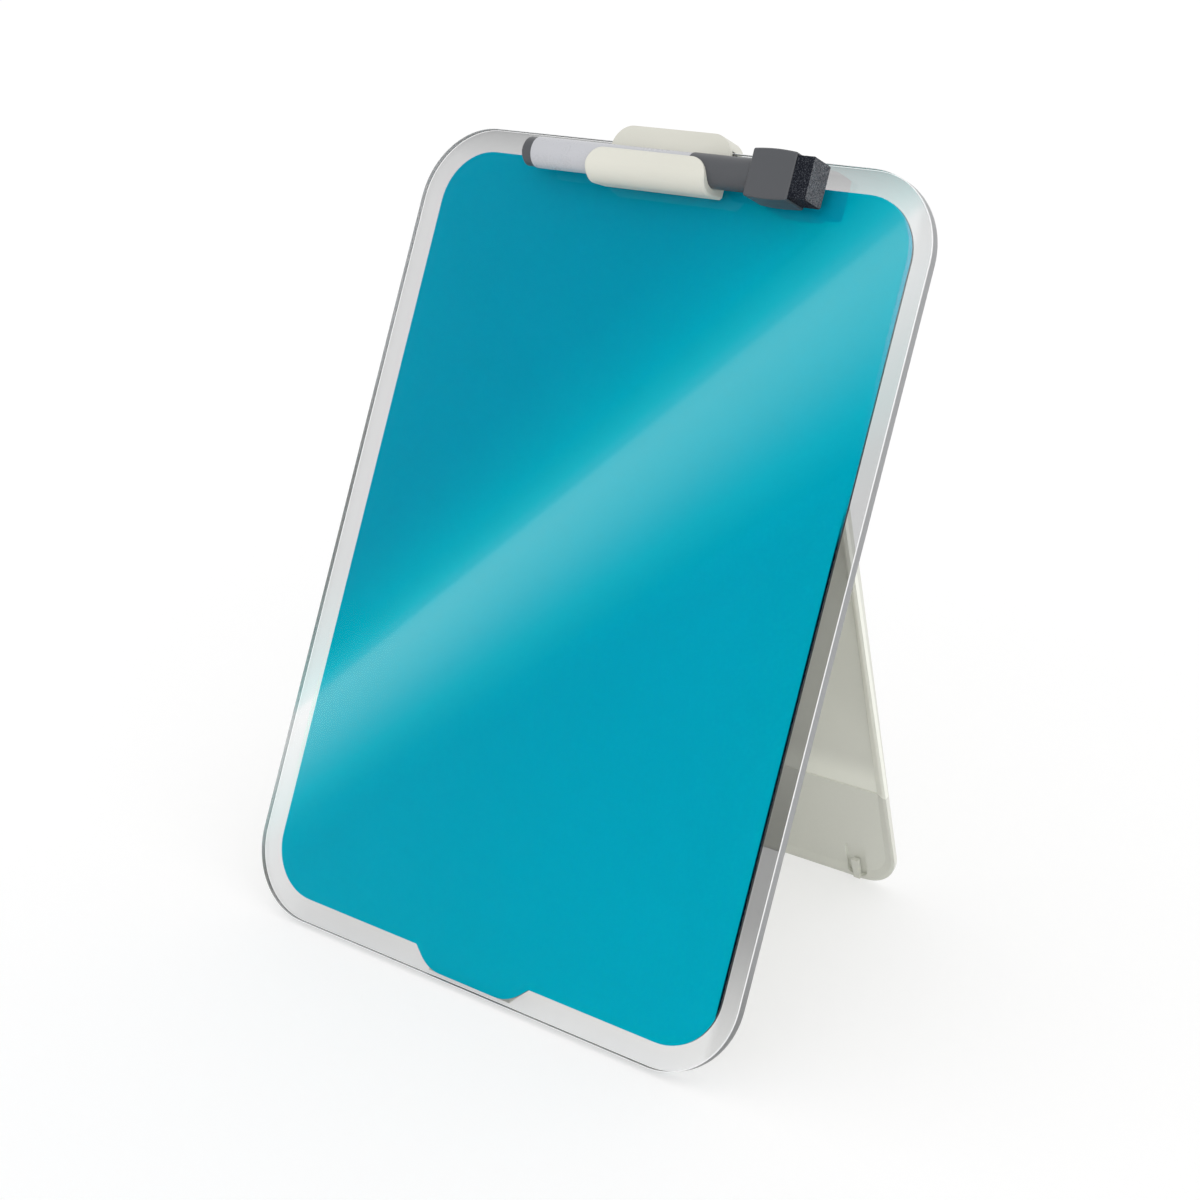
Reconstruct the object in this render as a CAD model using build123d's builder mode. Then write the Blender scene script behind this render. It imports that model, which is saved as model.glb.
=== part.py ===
"""Desk whiteboard easel.

A clear glass board, backed by a coloured film and a magnetic steel sheet, leans on a
moulded leg that folds flat against the back cover. A sliding clip on the glass's top
edge carries a marker whose cap ends in a felt eraser.

Origin: the desk under the middle of the front foot. +X is the board's right seen from
the front, +Y is towards the leg, +Z is up. The leg stands open. Millimetres and degrees.

Board coordinates: u along the width from the middle, v up the glass from its bottom
edge, w through the board from the glass's front face towards the leg.
Leg coordinates: r towards the leg's rear face and h up the leg, from the hinge axis.
"""
import math
import os

from build123d import *

# ------------------------------------------------------------------ driving dimensions
# Glass
board_lean = 24.1  # from the vertical
glass_width = 215.0
glass_height = 303.0
glass_thickness = 4.0
glass_corner_radius = 28.5
glass_arris = 0.4
glass_desk_gap = 0.5

# Coloured film and steel sheet behind the glass
clear_border = 8.3
film_thickness = 0.4
steel_thickness = 1.0
tab_width = 51.2
tab_slope = 43.0
tab_border = 1.4
tab_tip_radius = 14.0
tab_root_radius = 4.0

# Back cover and the foam pads that hold it on
cover_border = 15.0
cover_bottom_border = 10.0
cover_wall = 1.6
cover_edge_chamfer = 0.8
foam_thickness = 0.8
foam_length = 50.0
foam_height = 24.0
foam_columns = 2
foam_rows = 3

# Front foot in its socket on the cover's bottom tab
foot_width = 34.0
foot_depth = 5.0
foot_showing = 1.0
foot_top = 7.6
socket_wall = 1.4
foot_clearance = 0.05

# Hinge
hinge_height = 213.5
hinge_standoff = 3.1
hinge_inset = 26.75  # from the leg's sides to the middle of each hinge
housing_width = 19.0
housing_height = 17.0
housing_side_gap = 0.5
housing_end_gap = 1.5
pin_diameter = 3.0
pin_grip = 6.0
pin_chamfer = 0.3
pin_running_clearance = 0.05
pin_seat_clearance = 0.02
hinge_cap_height = 3.7
hinge_cap_chamfer = 0.8

# Screws of the hinge caps
screw_spacing = 11.0
screw_diameter = 2.3
screw_head_diameter = 4.2
screw_head_height = 1.4
screw_sink = 1.6
screw_floor = 0.4
screw_clearance = 0.25
screw_thread_clearance = 0.02
drive_width = 0.7
drive_length = 2.6
drive_depth = 0.7

# Leg
leg_opening = 42.15
leg_side_inset = 20.75  # from the glass's sides
leg_top_depth = 5.5
leg_bottom_depth = 2.6
leg_lip = 1.4
leg_floor = 1.5
leg_wall_run = 3.0
leg_corner_radius = 16.0
leg_top_corner_radius = 3.0
leg_edge_chamfer = 0.9
leg_heel = 6.0
leg_head = 13.0
leg_step_height = 47.0
leg_step = 0.3
fold_gap = 0.3
stop_gap = 0.05
core_width = 23.0
core_height = 8.5
core_depth = 3.4
core_pitch = 27.0
core_count = 3
core_radius = 1.5

# Snap hooks at the bottom corners of the leg
hook_inset = 18.0
hook_width = 2.8
hook_height = 9.3
hook_thickness = 1.8
hook_reach = 0.7
relief_width = 8.6
relief_height = 15.0
relief_depth = 1.0
relief_radius = 2.5
catch_side_gap = 1.0
catch_depth = 1.0

# Rubber strips under the leg
leg_foot_width = 22.0
leg_foot_spread = 48.0
leg_foot_inset = 0.3
leg_foot_thickness = 0.6

# Pen clip
clip_width = 50.0
clip_front_wall = 1.8
clip_glass_wall = 1.5
clip_rear_wall = 4.0
clip_rear_lip = 7.7
clip_head_height = 5.5
clip_head_radius = 8.0
clip_wall_rise = 2.8
clip_wall_drop = 9.6
clip_back_drop = 7.7
clip_end_radius = 6.5
clip_belly_radius = 7.0
clip_edge_chamfer = 0.8
clip_rear_chamfer = 1.0
liner_thickness = 0.45
glide_clearance = 0.05
pen_drop = 9.0

# Marker: lengths run from its tail to its tip
marker_tail = -55.8
plug_length = 5.0
plug_diameter = 10.4
plug_stem = 6.0
plug_chamfer = 1.0
barrel_diameter = 11.1
barrel_bore = 8.4
barrel_length = 66.7
neck_length = 11.0
neck_diameter = 9.9
reservoir_diameter = 7.2
reservoir_gap = 1.0
holder_plug_length = 7.0
holder_collar_length = 1.5
holder_nose_length = 3.0
holder_nose_diameter = 7.8
holder_cone_length = 2.5
holder_tip_diameter = 4.4
nib_diameter = 3.0
nib_showing = 2.5
nib_chamfer = 0.9
marker_fit = 0.05

# Cap with its eraser block
cap_diameter = 11.5
cap_sleeve_length = 25.4
cap_block_length = 16.9
cap_block_height = 16.0
cap_block_depth = 12.6
cap_block_arch = 0.5
cap_block_chamfer = 0.4
cap_bore_length = 24.0
seal_length = 10.4
seal_end = 1.0
felt_length = 11.9
felt_showing = 6.9
felt_height = 14.9
felt_depth = 11.6
felt_edge_radius = 0.6

# ------------------------------------------------------------------ frames and derived places
lean = math.radians(board_lean)
opening = math.radians(leg_opening)
leg_slant = opening - lean  # of the open leg, from the vertical
leg_width = glass_width - 2 * leg_side_inset
hinge_spread = leg_width - 2 * hinge_inset

film_back = glass_thickness + film_thickness
steel_back = film_back + steel_thickness
foam_back = steel_back + foam_thickness
cover_back = foam_back + cover_wall
hinge_depth = cover_back + hinge_standoff

glass_edge_height = glass_thickness * math.sin(lean) + glass_desk_gap
foot_middle_depth = cover_back + foot_depth / 2
board_start = glass_edge_height * math.tan(lean) - foot_middle_depth / math.cos(lean)

board_origin = Vector(0, board_start, glass_edge_height)
up_board = Vector(0, math.sin(lean), math.cos(lean))
into_board = Vector(0, math.cos(lean), -math.sin(lean))
hinge_origin = board_origin + up_board * hinge_height + into_board * hinge_depth
up_leg = Vector(0, -math.sin(leg_slant), math.cos(leg_slant))
into_leg = Vector(0, math.cos(leg_slant), math.sin(leg_slant))

across = Vector(1, 0, 0)
board_plane = Plane(origin=board_origin, x_dir=across, z_dir=-into_board)  # u, v
board_side = Plane(origin=board_origin, x_dir=into_board, z_dir=across)  # w, v
leg_face = Plane(origin=hinge_origin, x_dir=across, z_dir=-into_leg)  # u, h
leg_side = Plane(origin=hinge_origin, x_dir=into_leg, z_dir=across)  # r, h
board_normal = Axis(board_origin, -into_board)
board_rise = Axis(board_origin, up_board)

leg_lip_reach = hinge_standoff - fold_gap
leg_lip_drop = leg_lip_reach * math.sin(leg_slant)
leg_length = (hinge_origin.Z - leg_lip_drop - leg_foot_thickness) / math.cos(leg_slant)
hook_offset = leg_width / 2 - hook_inset
notch_width = housing_width + 2 * housing_side_gap
notch_drop = housing_height / 2 + housing_end_gap

pen_radius = cap_diameter / 2 + marker_fit
clip_inner_face = liner_thickness + glide_clearance  # in front of the glass
tray_back = clip_inner_face + clip_glass_wall
pen_depth = tray_back + pen_radius
pen_height = glass_height - pen_drop


def board_point(u, v, w):
    """Point at board coordinates u, v and w."""
    return board_origin + across * u + up_board * v + into_board * w


def desk_height(depth):
    """v of the desk's surface at a depth w behind the glass's front face."""
    return (depth * math.sin(lean) - glass_edge_height) / math.cos(lean)


def leg_desk_height(rear):
    """h of the desk's surface at a distance r behind the hinge axis, with the leg open."""
    return -(hinge_origin.Z + rear * math.sin(leg_slant)) / math.cos(leg_slant)


def colour_outline(plane):
    """Outline shared by the film and the steel: a rounded panel with a tab at the bottom."""
    half_width = glass_width / 2 - clear_border
    tab_foot = tab_width / 2 - (clear_border - tab_border) / math.tan(math.radians(tab_slope))
    with BuildSketch(plane) as outline:
        with BuildLine():
            Polyline(
                (-half_width, glass_height - clear_border),
                (half_width, glass_height - clear_border),
                (half_width, clear_border),
                (tab_width / 2, clear_border),
                (tab_foot, tab_border),
                (-tab_foot, tab_border),
                (-tab_width / 2, clear_border),
                (-half_width, clear_border),
                close=True,
            )
        make_face()
        tab_tips = outline.vertices().group_by(Axis.Y)[0]
        tab_roots = outline.vertices().group_by(Axis.Y)[1].sort_by(Axis.X)[1:3]
        fillet(tab_tips, tab_tip_radius)
        fillet(tab_roots, tab_root_radius)
        side_corners = outline.vertices().group_by(Axis.X)
        panel_corners = side_corners[0] + side_corners[-1]
        fillet(panel_corners, glass_corner_radius - clear_border)
    return outline


pen_origin = board_point(0, pen_height, -pen_depth)
pen_plane = Plane(origin=pen_origin, x_dir=across, z_dir=-into_board)  # u, up the board
pen_axis = Axis(pen_origin, across)

# ------------------------------------------------------------------ board
with BuildPart() as glass_panel:
    with BuildSketch(board_plane):
        with Locations((0, glass_height / 2)):
            RectangleRounded(glass_width, glass_height, glass_corner_radius)
    extrude(amount=-glass_thickness)
    broad_faces = glass_panel.faces().sort_by(board_normal)
    chamfer(broad_faces[0].edges() + broad_faces[-1].edges(), glass_arris)

with BuildPart() as colour_film:
    film_outline = colour_outline(board_plane.offset(-glass_thickness))
    extrude(film_outline.sketch, amount=-film_thickness)

with BuildPart() as steel_sheet:
    steel_outline = colour_outline(board_plane.offset(-film_back))
    extrude(steel_outline.sketch, amount=-steel_thickness)

cover_outer_width = glass_width - 2 * cover_border
cover_outer_height = glass_height - cover_border - cover_bottom_border
cover_middle = cover_bottom_border + cover_outer_height / 2
cover_corner_radius = glass_corner_radius - cover_border

with BuildPart() as foam_pads:
    with BuildSketch(board_plane.offset(-steel_back)):
        with Locations((0, cover_middle)):
            with GridLocations(
                cover_outer_width / foam_columns, cover_outer_height / foam_rows, foam_columns, foam_rows
            ):
                Rectangle(foam_length, foam_height)
    extrude(amount=-foam_thickness)

# ------------------------------------------------------------------ back cover
socket_width = foot_width + 2 * (socket_wall + foot_clearance)
socket_back = cover_back + foot_depth + foot_clearance + socket_wall
socket_top = foot_top + socket_wall

with BuildPart() as back_cover:
    with BuildSketch(board_plane.offset(-steel_back)):
        with Locations((0, cover_middle)):
            RectangleRounded(cover_outer_width, cover_outer_height, cover_corner_radius)
    extrude(amount=-(cover_back - steel_back))
    chamfer(back_cover.faces().sort_by(board_normal)[0].edges(), cover_edge_chamfer)
    with BuildSketch(board_plane.offset(-steel_back)):
        with Locations((0, cover_middle)):
            RectangleRounded(
                cover_outer_width - 2 * cover_wall,
                cover_outer_height - 2 * cover_wall,
                cover_corner_radius - cover_wall,
            )
    extrude(amount=-foam_thickness, mode=Mode.SUBTRACT)
    with BuildSketch(board_side):  # bottom tab with the foot's socket
        with BuildLine():
            Polyline(
                (steel_back, cover_bottom_border + cover_wall),
                (cover_back, cover_bottom_border + cover_wall),
                (cover_back, socket_top),
                (socket_back, socket_top),
                (socket_back, desk_height(socket_back) + foot_showing),
                (steel_back, desk_height(steel_back) + foot_showing),
                close=True,
            )
        make_face()
    extrude(amount=socket_width / 2, both=True)
    with BuildSketch(board_side):
        with BuildLine():
            Polyline(
                (cover_back, foot_top),
                (cover_back + foot_depth + foot_clearance, foot_top),
                (cover_back + foot_depth + foot_clearance, desk_height(socket_back) - foot_depth),
                (cover_back, desk_height(socket_back) - foot_depth),
                close=True,
            )
        make_face()
    extrude(amount=foot_width / 2 + foot_clearance, both=True, mode=Mode.SUBTRACT)
    for side in (-1, 1):
        with BuildSketch(board_plane.offset(-cover_back)):  # hinge pedestal
            with Locations((side * hinge_spread / 2, hinge_height)):
                Rectangle(housing_width, housing_height)
        extrude(amount=-hinge_standoff)
        with BuildSketch(board_plane.offset(-cover_back)):  # catch for the folded leg's hook
            with Locations((side * hook_offset, hinge_height - leg_length + hook_height / 2)):
                Rectangle(hook_width + 2 * catch_side_gap, hook_height + 2 * catch_side_gap)
        extrude(amount=catch_depth, mode=Mode.SUBTRACT)
        with BuildSketch(board_side.offset(side * hinge_spread / 2)):
            with Locations((hinge_depth, hinge_height)):
                Circle(pin_diameter / 2 + pin_running_clearance)
        extrude(amount=housing_width, both=True, mode=Mode.SUBTRACT)
        pedestal_top = board_point(side * hinge_spread / 2, hinge_height, hinge_depth)
        with Locations(Plane(pedestal_top, x_dir=across, z_dir=into_board)):
            with GridLocations(0, screw_spacing, 1, 2):
                Hole(
                    screw_diameter / 2 + screw_thread_clearance,
                    depth=hinge_standoff + cover_wall - screw_floor,
                )

with BuildPart() as front_foot:
    with BuildSketch(board_side):
        with BuildLine():
            Polyline(
                (cover_back, foot_top - foot_clearance),
                (cover_back + foot_depth, foot_top - foot_clearance),
                (cover_back + foot_depth, desk_height(cover_back + foot_depth)),
                (cover_back, desk_height(cover_back)),
                close=True,
            )
        make_face()
    extrude(amount=foot_width / 2, both=True)


# ------------------------------------------------------------------ hinge
def hinge_cap(side):
    """Bearing cap that closes a hinge pedestal over the pin, with sunk screw holes."""
    cap_top = board_point(side * hinge_spread / 2, hinge_height, hinge_depth + hinge_cap_height)
    with BuildPart() as cap:
        with BuildSketch(board_plane.offset(-hinge_depth)):
            with Locations((side * hinge_spread / 2, hinge_height)):
                Rectangle(housing_width, housing_height)
        extrude(amount=-hinge_cap_height)
        chamfer(cap.faces().sort_by(board_normal)[0].edges(), hinge_cap_chamfer)
        with BuildSketch(board_side.offset(side * hinge_spread / 2)):
            with Locations((hinge_depth, hinge_height)):
                Circle(pin_diameter / 2 + pin_running_clearance)
        extrude(amount=housing_width, both=True, mode=Mode.SUBTRACT)
        with Locations(Plane(cap_top, x_dir=across, z_dir=into_board)):
            with GridLocations(0, screw_spacing, 1, 2):
                CounterBoreHole(
                    (screw_diameter + screw_clearance) / 2,
                    (screw_head_diameter + screw_clearance) / 2,
                    screw_sink,
                )
    return cap


hinge_cap_left = hinge_cap(-1)
hinge_cap_right = hinge_cap(1)

screw_seat = hinge_depth + hinge_cap_height - screw_sink
screw_tip = foam_back + screw_floor

with BuildPart() as hinge_screws:
    with Locations(board_plane.offset(-screw_seat)):
        with Locations((0, hinge_height, 0)):
            with GridLocations(hinge_spread, screw_spacing, 2, 2):
                Cylinder(
                    screw_diameter / 2,
                    screw_seat - screw_tip,
                    align=(Align.CENTER, Align.CENTER, Align.MIN),
                )
                Cylinder(
                    screw_head_diameter / 2,
                    screw_head_height,
                    align=(Align.CENTER, Align.CENTER, Align.MAX),
                )
    head_tops = board_plane.offset(-screw_seat - screw_head_height)
    with BuildSketch(head_tops):
        with Locations((0, hinge_height)):
            with GridLocations(hinge_spread, screw_spacing, 2, 2):
                Rectangle(drive_length, drive_width)
                Rectangle(drive_width, drive_length)
    extrude(amount=drive_depth, mode=Mode.SUBTRACT)


def hinge_pin(side):
    """Steel pin that crosses one notch of the leg and turns in the housing."""
    with BuildPart() as pin:
        with BuildSketch(leg_side.offset(side * hinge_spread / 2)):
            Circle(pin_diameter / 2)
        extrude(amount=notch_width / 2 + pin_grip, both=True)
        chamfer(pin.edges(), pin_chamfer)
    return pin


hinge_pin_left = hinge_pin(-1)
hinge_pin_right = hinge_pin(1)

# ------------------------------------------------------------------ leg
# The heel's bevel lies flat on the cover when the leg is open; an arc about the hinge axis
# joins it to the lips, so that the heel clears the cover all the way to the folded leg.
stop_reach = hinge_standoff - stop_gap
heel_start = math.sqrt(stop_reach**2 - leg_lip_reach**2)
heel_mid_angle = (math.asin(heel_start / stop_reach) + opening) / 2
bevel_start = (-stop_reach * math.cos(opening), stop_reach * math.sin(opening))
bevel_end = (bevel_start[0] + (leg_heel - bevel_start[1]) * math.tan(opening), leg_heel)
leg_rear_top = leg_top_depth - leg_lip_reach
leg_rear_bottom = leg_bottom_depth - leg_lip_reach
leg_taper = (leg_rear_top - leg_rear_bottom) / (leg_length + leg_heel)


def leg_rear(height):
    """r of the leg's rear face at a height h along the leg."""
    return leg_rear_top - leg_taper * (leg_heel - height)


floor_level = leg_floor + leg_step
floor_normal = up_leg * leg_taper - into_leg
floor_origin = leg_side.from_local_coords((leg_rear(0) - floor_level, 0, 0))
floor_plane = Plane(origin=floor_origin, x_dir=across, z_dir=floor_normal)


def leg_outline(plane, inset, top, top_radius):
    """Leg outline, drawn inwards by inset, from its bottom edge up to a height."""
    bottom = inset - leg_length
    with BuildSketch(plane) as outline:
        with Locations((0, (top + bottom) / 2)):
            Rectangle(leg_width - 2 * inset, top - bottom)
        corners = outline.vertices().group_by(Axis.Y)
        fillet(corners[0], leg_corner_radius - inset)
        fillet(outline.vertices().group_by(Axis.Y)[-1], top_radius)
    return outline


with BuildPart() as support_leg:
    with BuildSketch(leg_side):
        with BuildLine():
            Polyline(
                bevel_end,
                (leg_rear_top, leg_heel),
                (leg_rear_bottom, -leg_length),
                (-leg_lip_reach, -leg_length),
                (-leg_lip_reach, heel_start),
            )
            ThreePointArc(
                (-leg_lip_reach, heel_start),
                (-stop_reach * math.cos(heel_mid_angle), stop_reach * math.sin(heel_mid_angle)),
                bevel_start,
            )
            Line(bevel_start, bevel_end)
        make_face()
    extrude(amount=leg_width / 2, both=True)
    whole_outline = leg_outline(leg_face, 0, leg_heel, leg_top_corner_radius)
    extrude(whole_outline.sketch, amount=leg_length, both=True, mode=Mode.INTERSECT)
    chamfer(support_leg.faces().sort_by(SortBy.AREA)[-1].edges(), leg_edge_chamfer)

    lip_inside = leg_outline(leg_face.offset(leg_lip_reach), leg_lip, -leg_head, leg_wall_run)
    floor_inside = leg_outline(
        floor_plane, leg_lip + leg_wall_run, -leg_head - leg_wall_run, leg_wall_run
    )
    loft(sections=[floor_inside.sketch, lip_inside.sketch], ruled=True, mode=Mode.SUBTRACT)
    with BuildSketch(floor_plane):  # the floor above the step
        step_height = leg_length - leg_step_height
        step_top = leg_head + leg_wall_run
        with Locations((0, -(step_height + step_top) / 2)):
            Rectangle(leg_width - 2 * (leg_lip + leg_wall_run), step_height - step_top)
    extrude(amount=-leg_step, mode=Mode.SUBTRACT)

    with BuildSketch(leg_face.offset(leg_lip_reach)):  # cores in the head
        with Locations((0, -leg_head / 2)):
            with GridLocations(core_pitch, 1, core_count, 1):
                RectangleRounded(core_width, core_height, core_radius)
    extrude(amount=-core_depth, mode=Mode.SUBTRACT)

    for side in (-1, 1):
        with BuildSketch(leg_face):  # notch round the hinge housing
            with Locations((side * hinge_spread / 2, (leg_heel - notch_drop) / 2)):
                Rectangle(notch_width, leg_heel + notch_drop)
        extrude(amount=leg_top_depth, both=True, mode=Mode.SUBTRACT)
        with BuildSketch(leg_side.offset(side * hinge_spread / 2)):
            Circle(pin_diameter / 2 + pin_seat_clearance)
        extrude(amount=notch_width / 2 + pin_grip, both=True, mode=Mode.SUBTRACT)

        hook_floor = leg_rear_bottom - floor_level
        with BuildSketch(leg_face.offset(-hook_floor - relief_depth)):  # relief behind the hook
            with Locations((side * hook_offset, leg_lip + relief_height / 2 - leg_length)):
                RectangleRounded(relief_width, relief_height, relief_radius)
        extrude(amount=leg_lip_reach, mode=Mode.SUBTRACT)
        with BuildSketch(leg_side.offset(side * hook_offset)):
            with Locations((-leg_lip_reach - hook_reach, -leg_length)):
                Rectangle(hook_thickness, hook_height, align=(Align.MIN, Align.MIN))
        extrude(amount=hook_width / 2, both=True)


def leg_foot(side):
    """Rubber strip under the leg, cut flat to the desk."""
    front = -leg_lip_reach + leg_foot_inset
    back = leg_rear_bottom - leg_edge_chamfer
    with BuildPart() as foot:
        with BuildSketch(leg_side.offset(side * leg_foot_spread / 2)):
            with BuildLine():
                Polyline(
                    (front, -leg_length),
                    (back, -leg_length),
                    (back, leg_desk_height(back)),
                    (front, leg_desk_height(front)),
                    close=True,
                )
            make_face()
        extrude(amount=leg_foot_width / 2, both=True)
    return foot


leg_foot_left = leg_foot(-1)
leg_foot_right = leg_foot(1)

# ------------------------------------------------------------------ pen clip
clip_front = tray_back + 2 * pen_radius + clip_front_wall
clip_slot_back = glass_thickness + glide_clearance + liner_thickness
clip_back = clip_slot_back + clip_rear_wall
clip_top = glass_height + clip_head_height
slot_top = glass_height + clip_inner_face
rear_lip_bottom = glass_height - clip_rear_lip
wall_top = pen_height + clip_wall_rise
wall_bottom = pen_height - clip_wall_drop

with BuildPart() as pen_clip:
    with BuildSketch(board_side) as clip_profile:
        with BuildLine():
            Polyline(
                (-tray_back, pen_height),
                (-tray_back, clip_top),
                (clip_back, clip_top),
                (clip_back, rear_lip_bottom),
                (clip_slot_back, rear_lip_bottom),
                (clip_slot_back, slot_top),
                (-clip_inner_face, slot_top),
                (-clip_inner_face, pen_height - clip_back_drop),
                (-clip_front, wall_bottom),
                (-clip_front, wall_top),
                (clip_front_wall - clip_front, wall_top),
                (clip_front_wall - clip_front, pen_height),
            )
            ThreePointArc(
                (clip_front_wall - clip_front, pen_height),
                (-pen_depth, pen_height - pen_radius),
                (-tray_back, pen_height),
            )
        make_face()
        fillet(clip_profile.vertices().group_by(board_rise)[0], clip_belly_radius)
    extrude(amount=clip_width / 2, both=True)
    with BuildSketch(board_plane):  # rounds the ends of the head
        with Locations((0, clip_top)):
            RectangleRounded(
                clip_width, clip_width, clip_head_radius, align=(Align.CENTER, Align.MAX)
            )
    extrude(amount=clip_width, both=True, mode=Mode.INTERSECT)
    with BuildSketch(board_plane.offset(pen_depth)):  # rounds the ends of the front wall
        with Locations((0, wall_top)):
            Rectangle(2 * clip_width, 2 * clip_width)
            RectangleRounded(
                clip_width,
                clip_width,
                clip_end_radius,
                align=(Align.CENTER, Align.MAX),
                mode=Mode.SUBTRACT,
            )
    extrude(amount=clip_front, mode=Mode.SUBTRACT)
    front_face = pen_clip.faces().sort_by(board_normal)[-1]
    chamfer(front_face.edges().sort_by(board_rise)[-1], clip_edge_chamfer)  # runs round the tray
    rear_lip_face = pen_clip.faces().sort_by(board_normal)[0]
    chamfer(rear_lip_face.edges(), clip_rear_chamfer)

with BuildPart() as clip_liner:
    with BuildSketch(board_side):
        with BuildLine():
            Polyline(
                (-clip_inner_face, pen_height),
                (-clip_inner_face, slot_top),
                (clip_slot_back, slot_top),
                (clip_slot_back, rear_lip_bottom),
                (glass_thickness + glide_clearance, rear_lip_bottom),
                (glass_thickness + glide_clearance, glass_height + glide_clearance),
                (-glide_clearance, glass_height + glide_clearance),
                (-glide_clearance, pen_height),
                close=True,
            )
        make_face()
    extrude(amount=clip_width / 2 - clip_head_radius, both=True)

# ------------------------------------------------------------------ marker
barrel_start = marker_tail + plug_length
shoulder = barrel_start + barrel_length
neck_end = shoulder + neck_length
collar_end = neck_end + holder_collar_length
nose_end = collar_end + holder_nose_length
cone_end = nose_end + holder_cone_length
reservoir_end = neck_end - holder_plug_length - reservoir_gap


def turned(*profile):
    """Solid of revolution about the marker's axis from (u, radius) points."""
    with BuildPart() as turning:
        with BuildSketch(pen_plane):
            with BuildLine():
                Polyline(*profile, close=True)
            make_face()
        revolve(axis=pen_axis)
    return turning


marker_barrel = turned(
    (barrel_start, barrel_bore / 2),
    (barrel_start, barrel_diameter / 2),
    (shoulder, barrel_diameter / 2),
    (shoulder, neck_diameter / 2),
    (neck_end, neck_diameter / 2),
    (neck_end, barrel_bore / 2),
)

with BuildPart() as end_plug:
    add(
        turned(
            (marker_tail, 0),
            (marker_tail, plug_diameter / 2),
            (barrel_start, plug_diameter / 2),
            (barrel_start, barrel_bore / 2 - marker_fit),
            (barrel_start + plug_stem, barrel_bore / 2 - marker_fit),
            (barrel_start + plug_stem, 0),
        ).part
    )
    chamfer(end_plug.edges().sort_by(Axis.X)[0], plug_chamfer)

ink_reservoir = turned(
    (barrel_start + plug_stem + reservoir_gap, 0),
    (barrel_start + plug_stem + reservoir_gap, reservoir_diameter / 2),
    (reservoir_end, reservoir_diameter / 2),
    (reservoir_end, 0),
)

nib_holder = turned(
    (neck_end - holder_plug_length, nib_diameter / 2 + marker_fit),
    (neck_end - holder_plug_length, barrel_bore / 2 - marker_fit),
    (neck_end, barrel_bore / 2 - marker_fit),
    (neck_end, neck_diameter / 2),
    (collar_end, neck_diameter / 2),
    (collar_end, holder_nose_diameter / 2),
    (nose_end, holder_nose_diameter / 2),
    (cone_end, holder_tip_diameter / 2),
    (cone_end, nib_diameter / 2 + marker_fit),
)

with BuildPart() as marker_nib:
    add(
        turned(
            (reservoir_end, 0),
            (reservoir_end, nib_diameter / 2),
            (cone_end + nib_showing, nib_diameter / 2),
            (cone_end + nib_showing, 0),
        ).part
    )
    chamfer(marker_nib.edges().sort_by(Axis.X)[-1], nib_chamfer)

# ------------------------------------------------------------------ cap
cap_start = shoulder + marker_fit
block_start = cap_start + cap_sleeve_length
block_end = block_start + cap_block_length
seal_start = collar_end + marker_fit
felt_start = block_end + felt_showing - felt_length
cap_bore = neck_diameter / 2 + marker_fit
felt_origin = board_point(felt_start, pen_height, -pen_depth)
felt_base = Plane(felt_origin, x_dir=up_board, z_dir=across)

with BuildPart() as marker_cap:
    with BuildSketch(pen_plane):
        with BuildLine():
            Polyline(
                (block_end, cap_block_height / 2),
                (block_end, -cap_block_height / 2),
            )
            ThreePointArc(
                (block_end, -cap_block_height / 2),
                ((block_start + block_end) / 2, -cap_block_height / 2 - cap_block_arch),
                (block_start, -cap_block_height / 2),
            )
            Line((block_start, -cap_block_height / 2), (block_start, cap_block_height / 2))
            ThreePointArc(
                (block_start, cap_block_height / 2),
                ((block_start + block_end) / 2, cap_block_height / 2 + cap_block_arch),
                (block_end, cap_block_height / 2),
            )
        make_face()
    extrude(amount=cap_block_depth / 2, both=True)
    chamfer(marker_cap.edges(), cap_block_chamfer)
    with BuildSketch(pen_plane):
        with Locations((cap_start, 0)):
            Rectangle(cap_sleeve_length + cap_block_length / 2, cap_diameter / 2, align=Align.MIN)
    revolve(axis=pen_axis)
    with BuildSketch(pen_plane):
        with Locations((cap_start, 0)):
            Rectangle(cap_bore_length, cap_bore, align=Align.MIN)
    revolve(axis=pen_axis, mode=Mode.SUBTRACT)
    with BuildSketch(felt_base):
        Rectangle(felt_height, felt_depth)
    extrude(amount=felt_length, mode=Mode.SUBTRACT)

inner_cap = turned(
    (seal_start, holder_nose_diameter / 2 + marker_fit),
    (seal_start, cap_bore - marker_fit),
    (seal_start + seal_length, cap_bore - marker_fit),
    (seal_start + seal_length, 0),
    (seal_start + seal_length - seal_end, 0),
    (seal_start + seal_length - seal_end, holder_nose_diameter / 2 + marker_fit),
)

with BuildPart() as felt_eraser:
    with BuildSketch(felt_base):
        Rectangle(felt_height - marker_fit, felt_depth - marker_fit)
    extrude(amount=felt_length)
    fillet(felt_eraser.faces().sort_by(Axis.X)[-1].edges(), felt_edge_radius)

# ------------------------------------------------------------------ export
pieces = {
    "glass_panel": glass_panel,
    "colour_film": colour_film,
    "steel_sheet": steel_sheet,
    "foam_pads": foam_pads,
    "back_cover": back_cover,
    "front_foot": front_foot,
    "hinge_cap_left": hinge_cap_left,
    "hinge_cap_right": hinge_cap_right,
    "hinge_screws": hinge_screws,
    "hinge_pin_left": hinge_pin_left,
    "hinge_pin_right": hinge_pin_right,
    "support_leg": support_leg,
    "leg_foot_left": leg_foot_left,
    "leg_foot_right": leg_foot_right,
    "pen_clip": pen_clip,
    "clip_liner": clip_liner,
    "marker_barrel": marker_barrel,
    "end_plug": end_plug,
    "ink_reservoir": ink_reservoir,
    "nib_holder": nib_holder,
    "marker_nib": marker_nib,
    "marker_cap": marker_cap,
    "inner_cap": inner_cap,
    "felt_eraser": felt_eraser,
}
os.makedirs("parts", exist_ok=True)
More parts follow.
